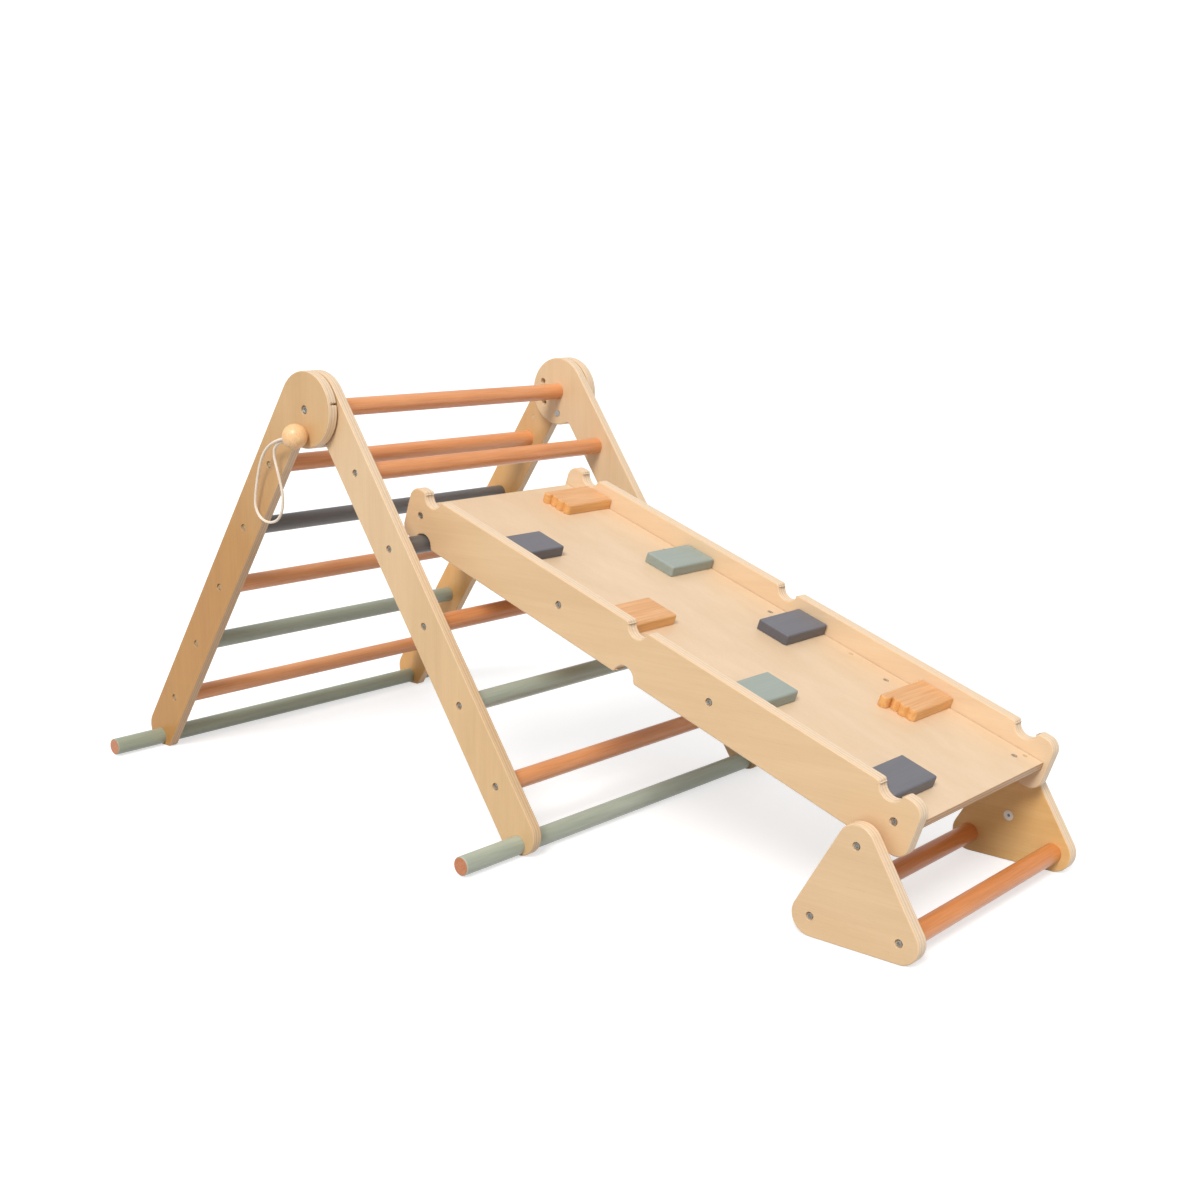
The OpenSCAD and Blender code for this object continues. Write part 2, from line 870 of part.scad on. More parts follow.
// Corner centres of a base board, measured from the top dowel along X and from the floor
stand_corners = [[-board_half_span, board_corner], [board_half_span, board_corner],
    [0, top_dowel_z]];

// The straight side of the outline between two corner circles
function side_points(a, b) = let (d = unit(b - a), n = [d[1], -d[0]])
    [a + (board_corner - tuck) * n, b + (board_corner - tuck) * n];

// A base board without its holes
module board_blank(y_start) {
    union() {
        plate(y_start, board_thickness) polygon(concat(
            side_points(stand_corners[0], stand_corners[1]),
            side_points(stand_corners[1], stand_corners[2]),
            side_points(stand_corners[2], stand_corners[0])));
        for (c = stand_corners) plate(y_start, board_thickness)
            translate(c) circle(r = board_corner);
    }
}

module stand_board(y_start, face_dir) {
    y_face = face_dir > 0 ? y_start : y_start + board_thickness;
    difference() {
        board_blank(y_start);
        for (c = stand_corners) translate([c[0], 0, c[1]]) {
            rod(bolt_hole_r, y_start - cut, y_start + board_thickness + cut);
            translate([0, y_face, 0]) face_side(face_dir) rod(bolt_recess_r, -cut, bolt_sink);
        }
        translate([insert_x, y_face + face_dir * board_thickness, insert_z])
            face_side(-face_dir) rod(insert_r, -cut, insert_depth);
    }
}

module stand_board_near() {
    color(ply) stand_place() stand_board(board_near, 1);
}

module stand_board_far() {
    color(ply) stand_place() stand_board(board_far, -1);
}

module stand_dowel(corner) {
    y_start = board_near + board_thickness;
    color(terracotta) stand_place() translate([corner[0], 0, corner[1]]) difference() {
        rod(rung_r, y_start, board_far);
        rod(bolt_hole_r, y_start - cut, y_start + bolt_hole_depth);
        rod(bolt_hole_r, board_far - bolt_hole_depth, board_far + cut);
    }
}

module stand_dowel_top() {
    stand_dowel(stand_corners[2]);
}

module stand_dowel_left() {
    stand_dowel(stand_corners[0]);
}

module stand_dowel_right() {
    stand_dowel(stand_corners[1]);
}

module stand_bolts() {
    color(steel) stand_place() for (c = stand_corners) translate([c[0], 0, c[1]]) {
        translate([0, board_near + bolt_sink - bolt_head_h, 0])
            bolt(board_thickness - bolt_sink + bolt_grip, bolt_head_r, bolt_head_h);
        translate([0, board_far + board_thickness - bolt_sink + bolt_head_h, 0])
            mirror([0, 1, 0])
            bolt(board_thickness - bolt_sink + bolt_grip, bolt_head_r, bolt_head_h);
    }
}

// The round insert in the near board's inner face, its mouth towards +Y
module stand_insert(y_face, dir) {
    translate([insert_x, y_face, insert_z]) face_side(dir) difference() {
        rod(insert_r, -insert_depth, -insert_sink);
        rod(insert_bore_r, -core_depth, cut);
    }
}

module stand_inserts() {
    color(white) stand_place() {
        stand_insert(board_near + board_thickness, 1);
        stand_insert(board_far, -1);
    }
}

module stand_core(y_face, dir) {
    translate([insert_x, y_face, insert_z]) face_side(dir)
        rod(insert_bore_r, -core_depth, -core_sink);
}

module stand_insert_cores() {
    color(grey) stand_place() {
        stand_core(board_near + board_thickness, 1);
        stand_core(board_far, -1);
    }
}

front_rail_near();
front_rail_far();
top_rung();
front_rung_1();
front_rung_2();
front_rung_3();
front_rung_4();
front_rung_5();
front_floor_bar();
front_bolts();
pivot_bolts();
pivot_washers();
pin_tips();
back_rail_near();
back_rail_far();
back_rung_1();
back_rung_2();
back_rung_3();
back_rung_4();
back_rung_5();
back_floor_bar();
back_bolts();
rail_plugs();
lock_knob_near();
lock_shank_near();
lock_cord();
lock_knob_far();
lock_shank_far();
ramp_rail_near();
ramp_rail_far();
ramp_panel();
step_block_1();
step_block_2();
step_block_3();
step_block_4();
step_block_5();
step_block_6();
step_block_7();
step_block_8();
ramp_bolts();
panel_screws();
panel_plugs();
stand_board_near();
stand_board_far();
stand_dowel_top();
stand_dowel_left();
stand_dowel_right();
stand_bolts();
stand_inserts();
stand_insert_cores();
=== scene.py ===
import json
import math

import bmesh
import bpy
from mathutils import Matrix, Vector


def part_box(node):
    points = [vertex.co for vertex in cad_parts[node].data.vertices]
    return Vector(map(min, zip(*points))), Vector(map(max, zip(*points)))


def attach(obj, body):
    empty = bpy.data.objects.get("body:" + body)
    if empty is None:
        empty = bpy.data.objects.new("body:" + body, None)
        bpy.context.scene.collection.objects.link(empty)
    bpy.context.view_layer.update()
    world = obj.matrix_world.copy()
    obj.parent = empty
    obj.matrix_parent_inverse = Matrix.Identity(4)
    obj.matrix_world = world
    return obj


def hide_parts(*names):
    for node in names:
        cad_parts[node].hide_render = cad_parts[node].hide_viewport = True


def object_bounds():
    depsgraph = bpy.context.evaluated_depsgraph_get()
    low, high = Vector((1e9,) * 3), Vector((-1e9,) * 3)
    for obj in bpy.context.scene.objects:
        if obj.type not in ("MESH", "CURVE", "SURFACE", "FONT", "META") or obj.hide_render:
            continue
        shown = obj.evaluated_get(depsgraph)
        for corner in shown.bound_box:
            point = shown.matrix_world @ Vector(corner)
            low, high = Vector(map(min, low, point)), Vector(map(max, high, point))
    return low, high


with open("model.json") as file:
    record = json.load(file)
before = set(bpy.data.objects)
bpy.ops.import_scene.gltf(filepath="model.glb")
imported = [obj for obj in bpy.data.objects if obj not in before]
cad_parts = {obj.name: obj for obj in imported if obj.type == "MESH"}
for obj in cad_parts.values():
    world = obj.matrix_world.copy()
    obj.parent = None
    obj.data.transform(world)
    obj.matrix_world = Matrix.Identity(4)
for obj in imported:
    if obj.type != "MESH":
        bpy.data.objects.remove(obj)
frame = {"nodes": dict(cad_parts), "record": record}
cad_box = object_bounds()

BEHAVIOUR = frame["record"]["behaviour"]
JOINTS = {joint["name"]: joint for joint in BEHAVIOUR["joints"]}
PIVOT = Vector(JOINTS["fold"]["pos_m"])
BODY_OF = {node: body for body, nodes in BEHAVIOUR["bodies"].items() for node in nodes}

# How far the ladders lean from upright, and how steep the ramp is
LEAN = math.radians(34.16)
SLOPE = math.radians(19.25)

CAMERA_PLACE = (1.7614, -1.9813, 0.875)
CAMERA_AZIMUTH = 40.99
CAMERA_ELEVATION = 11.44
CAMERA_ROLL = 0.24
CAMERA_LENS = 47.6

SKY_GLOW = 0.57
FLOOR_GREY = 0.5
FLOOR_GLOW = 0.62
BOUNCE_GREY = 0.45
BACKDROP_GREY = 0.055
BACKDROP_GLOW = 1.1
FLOOR_RADIUS = 30
FLOOR_SEGMENTS = 96
FLOOR_DROP = 0.0002
BOUNCE_DROP = 0.0006
BACKDROP_RADIUS = 29.5

scene = bpy.context.scene
scene.view_settings.view_transform = "Standard"
scene.view_settings.look = "None"


# ---------------------------------------------------------------- camera
def add_camera():
    azimuth, elevation, roll = (math.radians(a) for a in (CAMERA_AZIMUTH, CAMERA_ELEVATION, CAMERA_ROLL))
    right = Vector((math.cos(azimuth), math.sin(azimuth), 0))
    back = Vector((math.sin(azimuth) * math.cos(elevation), -math.cos(azimuth) * math.cos(elevation),
                   math.sin(elevation)))
    up = back.cross(right)
    right_rolled = right * math.cos(roll) + up * math.sin(roll)
    up_rolled = up * math.cos(roll) - right * math.sin(roll)
    data = bpy.data.cameras.new("camera")
    data.lens = CAMERA_LENS
    data.sensor_width = 36
    data.clip_end = 100
    camera = bpy.data.objects.new("camera", data)
    scene.collection.objects.link(camera)
    turn = Matrix((right_rolled, up_rolled, back)).transposed().to_4x4()
    camera.matrix_world = Matrix.Translation(CAMERA_PLACE) @ turn
    scene.camera = camera


add_camera()


# ---------------------------------------------------------------- helpers
def new_object(name, mesh):
    piece = bpy.data.objects.new(name, mesh)
    scene.collection.objects.link(piece)
    return piece


def finish_piece(piece, node, material):
    """Gives the piece its material, puts it under the CAD node's body, and hides the CAD node."""
    piece.data.materials.clear()
    piece.data.materials.append(material)
    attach(piece, BODY_OF[node])
    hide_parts(node)
    return piece


def smooth(piece):
    """Shades the piece smooth and keeps its large faces flat."""
    for face in piece.data.polygons:
        face.use_smooth = True
    modifier = piece.modifiers.new("weighted", "WEIGHTED_NORMAL")
    modifier.mode = "FACE_AREA"
    modifier.weight = 80


def srgb(code):
    """A hex colour as linear RGBA."""
    channels = []
    for i in (0, 2, 4):
        value = int(code[i:i + 2], 16) / 255
        channels.append(value / 12.92 if value <= 0.04045 else ((value + 0.055) / 1.055) ** 2.4)
    return (*channels, 1)


# ---------------------------------------------------------------- material nodes
PORE_BROWN = srgb("8A5A30")
# The colour of the painted shadow line where the panel meets a rail
SEAM_SHADOW_BROWN = srgb("8A6238")
FLECK_BROWN = srgb("A87444")
END_GRAIN_BROWN = srgb("B0683C")


class Tree:
    """A material with a Principled shader and a few shortcuts for wiring nodes."""

    def __init__(self, name, roughness=0.5, metallic=0.0, coat=0.0, specular=0.5):
        self.material = bpy.data.materials.new(name)
        self.material.use_nodes = True
        self.tree = self.material.node_tree
        self.shader = self.tree.nodes["Principled BSDF"]
        self.shader.inputs["Roughness"].default_value = roughness
        self.shader.inputs["Metallic"].default_value = metallic
        self.shader.inputs["Coat Weight"].default_value = coat
        self.shader.inputs["Coat Roughness"].default_value = 0.3
        self.shader.inputs["Specular IOR Level"].default_value = specular

    def add(self, kind, **inputs):
        """Adds a node. p_name sets a property, i0 an input by its number, and any other name an input."""
        node = self.tree.nodes.new(kind)
        for key, value in inputs.items():
            if key.startswith("p_"):
                setattr(node, key[2:], value)
            elif key[0] == "i" and key[1:].isdigit():
                self.put(node.inputs[int(key[1:])], value)
            else:
                self.put(node.inputs[key], value)
        return node

    def put(self, socket, value):
        if isinstance(value, bpy.types.NodeSocket):
            self.tree.links.new(value, socket)
        else:
            socket.default_value = value

    def math(self, operation, a, b=0.0, clamp=False):
        node = self.add("ShaderNodeMath", p_operation=operation, p_use_clamp=clamp, i0=a, i1=b)
        return node.outputs[0]

    def span(self, value, low, high, to_low=0.0, to_high=1.0):
        return self.add("ShaderNodeMapRange", Value=value, **{
            "From Min": low, "From Max": high, "To Min": to_low, "To Max": to_high}).outputs[0]

    def mix(self, factor, a, b):
        node = self.add("ShaderNodeMix", p_data_type="RGBA", i0=factor, i6=a, i7=b)
        return node.outputs[2]

    def place(self, turn_y=0.0, scale=(1, 1, 1), move=(0, 0, 0)):
        """Coordinates turned about Y, so that they lie along a leaning part, then scaled and moved."""
        source = self.add("ShaderNodeTexCoord").outputs["Object"]
        return self.add("ShaderNodeMapping", Vector=source, Rotation=(0, turn_y, 0), Scale=scale,
                        Location=move).outputs[0]

    def facing(self, turn_y, axis):
        """How far the surface faces along an axis of those turned coordinates, from -1 to 1."""
        source = self.add("ShaderNodeTexCoord").outputs["Normal"]
        turned_normal = self.add("ShaderNodeMapping", p_vector_type="NORMAL", Vector=source,
                                 Rotation=(0, turn_y, 0)).outputs[0]
        return self.add("ShaderNodeSeparateXYZ", Vector=turned_normal).outputs[axis]

    def noise(self, vector, detail=3.0, roughness=0.5, distortion=0.0):
        return self.add("ShaderNodeTexNoise", Vector=vector, Scale=1.0, Detail=detail,
                        Roughness=roughness, Distortion=distortion).outputs["Fac"]

    def bump(self, height, strength, distance):
        node = self.add("ShaderNodeBump", Height=height, Strength=strength, Distance=distance)
        self.tree.links.new(node.outputs[0], self.shader.inputs["Normal"])

    def colour(self, value):
        self.put(self.shader.inputs["Base Color"], value)


def stretched(axis, across, along):
    """Noise scales for a grain that runs along one axis."""
    return tuple(along if i == axis else across for i in range(3))


def veneer(tree, turn_y, axis, light, dark, seed):
    """Birch veneer: slow figure, fine streaks along the grain, a few pores. Gives colour and height."""
    slow = tree.noise(tree.place(turn_y, stretched(axis, 14, 1.6), (seed, seed * 2, seed * 3)),
                      4.0, 0.55, 0.6)
    flame = tree.noise(tree.place(turn_y, stretched(axis, 45, 3.5), (seed * 5, seed, seed)), 3.0, 0.5, 1.2)
    streak = tree.noise(tree.place(turn_y, stretched(axis, 520, 9), (seed, seed, seed * 7)), 2.0, 0.6)
    pore = tree.noise(tree.place(turn_y, stretched(axis, 1500, 60), (seed * 3, seed, seed)), 1.0, 0.5)
    shade = tree.math("MULTIPLY", tree.span(slow, 0.3, 0.7), 0.55)
    shade = tree.math("ADD", shade, tree.math("MULTIPLY", tree.span(flame, 0.35, 0.7), 0.22))
    shade = tree.math("ADD", shade, tree.math("MULTIPLY", tree.span(streak, 0.3, 0.75), 0.25), clamp=True)
    colour = tree.mix(shade, light, dark)
    marks = tree.span(pore, 0.66, 0.78)
    colour = tree.mix(tree.math("MULTIPLY", marks, 0.16), colour, PORE_BROWN)
    height = tree.math("SUBTRACT", streak, tree.math("MULTIPLY", marks, 0.5))
    return colour, height


# Width and strength of the painted shadow line along the panel's edges, where they meet the rails
SEAM_SHADOW_WIDTH = 0.0024
SEAM_SHADOW_STRENGTH = 0.85


def plywood(name, turn_y, axis, across_axis, low, thickness, light, dark, edge_light, edge_dark, seed,
            layers=7, roughness=0.42, tone=None, seam_shadow=None):
    """Plywood whose layers are stacked along across_axis from low; the veneer's grain runs along axis.
    tone is (where it starts, where it ends, light, dark): painted shade that deepens the veneer along the
    grain.
    seam_shadow is (middle, half width) along Y of a face whose long edges get a painted shadow line where
    they meet a rail."""
    tree = Tree(name, roughness=roughness, coat=0.1)
    local = tree.add("ShaderNodeSeparateXYZ", Vector=tree.place(turn_y)).outputs
    # Painted shade: the face and edge colours darken along the part towards the given shaded colours
    if tone is not None:
        start, end, shaded_light, shaded_dark = tone
        wave = tree.noise(tree.place(turn_y, (7, 7, 7), (seed, 0, seed)), 2.0)
        shift = tree.math("ADD", local[axis], tree.span(wave, 0.2, 0.8, -0.04, 0.04))
        shade_amount = tree.span(shift, start, end)
        light = tree.mix(shade_amount, light, shaded_light)
        dark = tree.mix(shade_amount, dark, shaded_dark)
        edge_light = tree.mix(tree.math("MULTIPLY", shade_amount, 0.6), edge_light, shaded_light)
        edge_dark = tree.mix(tree.math("MULTIPLY", shade_amount, 0.6), edge_dark, shaded_dark)
    face, height = veneer(tree, turn_y, axis, light, dark, seed)
    # Painted shadow: a dark line along the long edges, where the face meets a rail
    if seam_shadow is not None:
        middle, half_width = seam_shadow
        from_middle = tree.math("ABSOLUTE", tree.math("SUBTRACT", local[1], middle))
        seam_shade = tree.span(from_middle, half_width - SEAM_SHADOW_WIDTH, half_width - SEAM_SHADOW_WIDTH / 3)
        face = tree.mix(tree.math("MULTIPLY", seam_shade, SEAM_SHADOW_STRENGTH), face, SEAM_SHADOW_BROWN)
    depth = tree.math("DIVIDE", tree.math("SUBTRACT", local[across_axis], low), thickness / layers)
    wander = tree.noise(tree.place(turn_y, (6, 6, 6), (seed, 0, seed)), 1.0)
    depth = tree.math("ADD", depth, tree.span(wander, 0.2, 0.8, -0.15, 0.15))
    layer = tree.math("SINE", tree.math("MULTIPLY", depth, math.pi))
    layer = tree.span(layer, -0.5, 0.5)
    fleck = tree.noise(tree.place(turn_y, stretched(axis, 500, 60), (seed, 0, 0)), 2.0)
    edge = tree.mix(layer, edge_light, edge_dark)
    edge = tree.mix(tree.math("MULTIPLY", tree.span(fleck, 0.4, 0.75), 0.12), edge, FLECK_BROWN)
    toward = tree.math("ABSOLUTE", tree.facing(turn_y, across_axis))
    tree.colour(tree.mix(tree.span(toward, 0.8, 0.95), edge, face))
    tree.put(tree.shader.inputs["Roughness"], tree.span(fleck, 0.3, 0.8, roughness - 0.05, roughness + 0.1))
    tree.bump(tree.math("ADD", height, tree.math("MULTIPLY", layer, 0.2)), 0.12, 0.0003)
    return tree.material


def stained_rod(name, light, dark, end_light=None, seed=1.0):
    """A stained wood rod along Y, with slight grain under a satin coat. end_light is bare end grain."""
    tree = Tree(name, roughness=0.36, coat=0.25)
    slow = tree.noise(tree.place(0, (60, 4, 60), (seed, seed, 0)), 3.0, 0.5, 0.4)
    fine = tree.noise(tree.place(0, (900, 14, 900), (0, seed, seed)), 2.0, 0.6)
    patch = tree.noise(tree.place(0, (12, 5, 12), (seed, 0, seed)), 2.0)
    shade = tree.math("ADD", tree.math("MULTIPLY", tree.span(slow, 0.3, 0.7), 0.45),
                      tree.math("MULTIPLY", tree.span(fine, 0.3, 0.75), 0.4))
    shade = tree.math("ADD", shade, tree.math("MULTIPLY", tree.span(patch, 0.3, 0.7), 0.25), clamp=True)
    colour = tree.mix(shade, light, dark)
    if end_light is not None:
        facing = tree.math("ABSOLUTE", tree.facing(0, 1))
        grain = tree.noise(tree.place(0, (420, 1, 420), (seed, 0, 0)), 3.0)
        end = tree.mix(tree.span(grain, 0.35, 0.7), end_light, END_GRAIN_BROWN)
        colour = tree.mix(tree.span(facing, 0.8, 0.95), colour, end)
    tree.colour(colour)
    tree.bump(fine, 0.1, 0.0002)
    return tree.material


def stained_block(name, light, dark, shaded_side_light, shaded_side_dark, seed, grain):
    """A solid wood block on the ramp, whose grain runs along Y and whose sides get painted shade, darker than
    its top.
    """
    turn_y = -SLOPE
    tree = Tree(name, roughness=0.5, coat=0.08)
    wide = tree.noise(tree.place(turn_y, (95, 5, 95), (seed, seed, seed)), 3.0, 0.6, 0.9)
    thin = tree.noise(tree.place(turn_y, (260, 8, 260), (seed, seed, 0)), 3.0, 0.6, 0.5)
    fine = tree.noise(tree.place(turn_y, (1100, 26, 1100), (seed, 0, 0)), 2.0, 0.6)
    shade = tree.math("ADD", tree.math("MULTIPLY", tree.span(wide, 0.36, 0.64), grain),
                      tree.math("MULTIPLY", tree.span(thin, 0.36, 0.66), grain))
    shade = tree.math("ADD", shade, tree.math("MULTIPLY", tree.span(fine, 0.3, 0.75), 0.3), clamp=True)
    # Painted shade: faces turned away from the top take the darker side colours
    lit_top_mask = tree.span(tree.facing(turn_y, 2), 0.35, 0.9)
    tree.colour(tree.mix(lit_top_mask, tree.mix(shade, shaded_side_light, shaded_side_dark), tree.mix(shade, light, dark)))
    tree.bump(tree.math("ADD", fine, thin), 0.14, 0.0003)
    return tree.material


def metal(name, colour, roughness, scratch=0.12):
    """Plated steel with dull patches and fine scratches."""
    tree = Tree(name, roughness=roughness, metallic=1.0)
    grime = tree.noise(tree.place(0, (260, 260, 260)), 4.0)
    fine = tree.noise(tree.place(0, (2600, 300, 2600)), 2.0)
    dull = tuple(channel * 0.55 for channel in colour[:3]) + (1,)
    tree.colour(tree.mix(tree.span(grime, 0.3, 0.75), colour, dull))
    varied = tree.span(fine, 0.3, 0.7, roughness - scratch, roughness + scratch)
    tree.put(tree.shader.inputs["Roughness"], varied)
    tree.bump(fine, 0.08, 0.0001)
    return tree.material


def plastic(name, light, dark, roughness=0.5):
    """Moulded plastic with a fine matt grain."""
    tree = Tree(name, roughness=roughness)
    grain = tree.noise(tree.place(0, (1800, 1800, 1800)), 2.0)
    tree.colour(tree.mix(tree.span(grain, 0.35, 0.7), light, dark))
    tree.bump(grain, 0.06, 0.0001)
    return tree.material


# ---------------------------------------------------------------- cord
# The same points as in the CAD: millimetres from where the pivot meets the near rail's outer face
CORD_ROUTE = [
    (-12, -19, -46), (-24, -20, -50), (-42, -21, -56), (-55, -20, -66), (-59, -18, -80), (-57, -16, -96),
    (-53, -14, -116), (-50, -12, -136), (-51, -10, -154), (-57, -9, -174), (-71, -8, -189), (-93, -8, -195),
    (-114, -9, -189), (-125, -10, -173), (-123, -12, -154), (-116, -14, -134), (-108, -16, -114),
    (-99, -18, -96), (-88, -20, -80), (-74, -22, -67), (-58, -24, -58), (-40, -25, -51), (-24, -25, -47),
    (-12, -24, -44)]
CORD_RADIUS = 0.0025
CORD_SIDES = 24
CORD_STRANDS = 3
CORD_TURN_LENGTH = 0.017


def smooth_route(points, steps):
    """A smooth curve through the points, with steps short straights between each two of them."""
    out = []
    for i in range(len(points) - 1):
        a, b, c, d = (points[min(max(i + k, 0), len(points) - 1)] for k in (-1, 0, 1, 2))
        for k in range(steps):
            t = k / steps
            out.append(0.5 * (2 * b + (c - a) * t + (2 * a - 5 * b + 4 * c - d) * t * t
                              + (3 * b - a - 3 * c + d) * t * t * t))
    out.append(points[-1])
    return out


def cord_material():
    tree = Tree("cord_white", roughness=0.85)
    tree.shader.inputs["Sheen Weight"].default_value = 0.3
    fibre = tree.noise(tree.place(0, (2500, 2500, 2500)), 3.0)
    soil = tree.noise(tree.place(0, (40, 40, 40)), 2.0)
    colour = tree.mix(tree.span(fibre, 0.35, 0.7), srgb("FFF4E6"), srgb("E2CBAE"))
    tree.colour(tree.mix(tree.math("MULTIPLY", tree.span(soil, 0.4, 0.7), 0.3), colour, srgb("D9BE98")))
    tree.bump(fibre, 0.4, 0.0002)
    return tree.material


def build_cord():
    start = Vector((PIVOT.x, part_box("back_rail_near")[0][1], PIVOT.z))
    route = smooth_route([start + Vector(p) / 1000 for p in CORD_ROUTE], 10)
    bm = bmesh.new()
    rings = []
    travelled = 0.0
    for i, point in enumerate(route):
        ahead = route[min(i + 1, len(route) - 1)] - route[max(i - 1, 0)]
        ahead.normalize()
        side = ahead.cross(Vector((0, 1, 0))).normalized()
        lift = side.cross(ahead)
        if i:
            travelled += (point - route[i - 1]).length
        ring = []
        for k in range(CORD_SIDES):
            angle = 2 * math.pi * k / CORD_SIDES
            twist = 2 * math.pi * travelled / CORD_TURN_LENGTH
            lobe = abs(math.cos(CORD_STRANDS * (angle - twist) / 2))
            radius = CORD_RADIUS * (0.8 + 0.2 * lobe ** 0.6)
            ring.append(bm.verts.new(point + radius * (math.cos(angle) * side + math.sin(angle) * lift)))
        rings.append(ring)
    for a, b in zip(rings, rings[1:]):
        for k in range(CORD_SIDES):
            n = (k + 1) % CORD_SIDES
            bm.faces.new((a[k], a[n], b[n], b[k]))
    bm.faces.new(list(reversed(rings[0])))
    bm.faces.new(rings[-1])
    bmesh.ops.recalc_face_normals(bm, faces=bm.faces)
    mesh = bpy.data.meshes.new("lock_cord_loop")
    bm.to_mesh(mesh)
    bm.free()
    piece = new_object("lock_cord_loop", mesh)
    for face in mesh.polygons:
        face.use_smooth = True
    finish_piece(piece, "lock_cord", cord_material())


build_cord()


# ---------------------------------------------------------------- shapes
# Sharp edges that close a loop smaller than this are the rims of bolt and pin holes
SMALL_LOOP = 0.035
SMALL_STEPS = 2
LARGE_STEPS = 3
# Angles in degrees: faces closer than FLAT_ANGLE become one, and an edge past SHARP_ANGLE is rounded
FLAT_ANGLE = 0.6
SHARP_ANGLE = 32
WELD_DISTANCE = 2e-6


def sharp_groups(bm, angle):
    """Edges past an angle in connected groups, each with its overall size, in the same order on every run."""
    sharp = [e for e in bm.edges if len(e.link_faces) == 2 and e.calc_face_angle(0) > angle]
    at_vert = {}
    for e in sharp:
        for v in e.verts:
            at_vert.setdefault(v, []).append(e)
    left, groups = dict.fromkeys(sharp), []
    while left:
        stack, group = [left.popitem()[0]], []
        while stack:
            e = stack.pop()
            group.append(e)
            for v in e.verts:
                for other in at_vert[v]:
                    if other in left:
                        del left[other]
                        stack.append(other)
        points = [v.co for e in group for v in e.verts]
        size = max(max(p[i] for p in points) - min(p[i] for p in points) for i in range(3))
        groups.append((size, group))
    return groups


def from_cad(node, name, material, wide, narrow=None, sharp_angle=SHARP_ANGLE):
    """A copy of a CAD node with sharp edges rounded: wide on large outlines, narrow on small ones."""
    narrow = wide if narrow is None else narrow
    mesh = frame["nodes"][node].data.copy()
    mesh.name = name
    bm = bmesh.new()
    bm.from_mesh(mesh)
    bmesh.ops.remove_doubles(bm, verts=bm.verts, dist=WELD_DISTANCE)
    bmesh.ops.dissolve_limit(bm, angle_limit=math.radians(FLAT_ANGLE), verts=bm.verts, edges=bm.edges)
    for big, width, count in ((False, narrow, SMALL_STEPS), (True, wide, LARGE_STEPS)):
        edges = []
        for size, group in sharp_groups(bm, math.radians(sharp_angle)):
            if (size > SMALL_LOOP) == big:
                edges += group
        if edges:
            bmesh.ops.bevel(bm, geom=edges, offset=width, offset_type="OFFSET", segments=count,
                            profile=0.5, affect="EDGES", clamp_overlap=False)
    bmesh.ops.recalc_face_normals(bm, faces=bm.faces)
    bm.to_mesh(mesh)
    bm.free()
    piece = new_object(name, mesh)
    smooth(piece)
    return finish_piece(piece, node, material)


ROD_SEGMENTS = 72


def turned(node, name, material, profile, segments=ROD_SEGMENTS):
    """A shape turned about the node's own Y axis. profile is (y, radius) pairs from near end to far end."""
    low, high = (Vector(c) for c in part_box(node))
    centre = (low + high) / 2
    bm = bmesh.new()
    rings = []
    for y, radius in profile:
        if radius == 0:
            rings.append([bm.verts.new((centre.x, y, centre.z))])
            continue
        rings.append([bm.verts.new((centre.x + radius * math.cos(2 * math.pi * k / segments), y,
                                    centre.z + radius * math.sin(2 * math.pi * k / segments)))
                      for k in range(segments)])
    for a, b in zip(rings, rings[1:]):
        for k in range(segments):
            n = (k + 1) % segments
            corners = [a[k % len(a)], a[n % len(a)], b[n % len(b)], b[k % len(b)]]
            unique = []
            for v in corners:
                if v not in unique:
                    unique.append(v)
            bm.faces.new(unique)
    bmesh.ops.recalc_face_normals(bm, faces=bm.faces)
    mesh = bpy.data.meshes.new(name)
    bm.to_mesh(mesh)
    bm.free()
    piece = new_object(name, mesh)
    smooth(piece)
    return finish_piece(piece, node, material)


ROUND_STEPS = 4
ROD_STRETCHES = 12


def rod_profile(node, rounding):
    """A round rod with a small quarter-round at each end."""
    low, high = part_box(node)
    radius = (high[0] - low[0]) / 2
    near_end = [(low[1], 0.0)]
    for k in range(ROUND_STEPS, -1, -1):
        angle = math.pi / 2 * k / ROUND_STEPS
        near_end.append((low[1] + rounding * (1 - math.sin(angle)),
                         radius - rounding * (1 - math.cos(angle))))
    middle = [(low[1] + (high[1] - low[1]) * k / ROD_STRETCHES, radius) for k in range(1, ROD_STRETCHES)]
    far_end = [(low[1] + high[1] - y, r) for y, r in reversed(near_end)]
    return near_end + middle + far_end


# ---------------------------------------------------------------- materials
EDGE_LIGHT = srgb("F2DABD")
EDGE_DARK = srgb("E7C8A2")


def down_leg(side, distance):
    """Height in a leg's own turned coordinates at a distance from the pivot. side is 1 back, -1 front."""
    return side * PIVOT.x * math.sin(LEAN) + PIVOT.z * math.cos(LEAN) - distance


# Where the painted shade down each ladder leg starts and ends, and the shaded colours it darkens to
BACK_SHADE_SPAN = (down_leg(1, 0.03), down_leg(1, 0.3))
FRONT_SHADE_SPAN = (down_leg(-1, 0.15), down_leg(-1, 0.6))
FRONT_SHADE_TONES = (srgb("DDB988"), srgb("CDA777"))
LEG_SHADE_TONES = {"near": (srgb("C2904F"), srgb("B17D42")), "far": (srgb("E2AE6C"), srgb("D19A57"))}
RAMP_TONES = {"near": ("E7C59A", "D9B487"), "far": ("EDD2AE", "E0C09A")}
BOARD_TONES = {"near": ("E3C298", "D4AF83"), "far": ("ECC486", "D8A866")}


def rail_ply(node, turn, axis, light, dark, seed, tone=None):
    """Plywood for an upright plate, whose layers are stacked along Y."""
    low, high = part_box(node)
    return plywood("ply_" + node, turn, axis, 1, low[1], high[1] - low[1], srgb(light), srgb(dark),
                   EDGE_LIGHT, EDGE_DARK, seed, tone=tone)


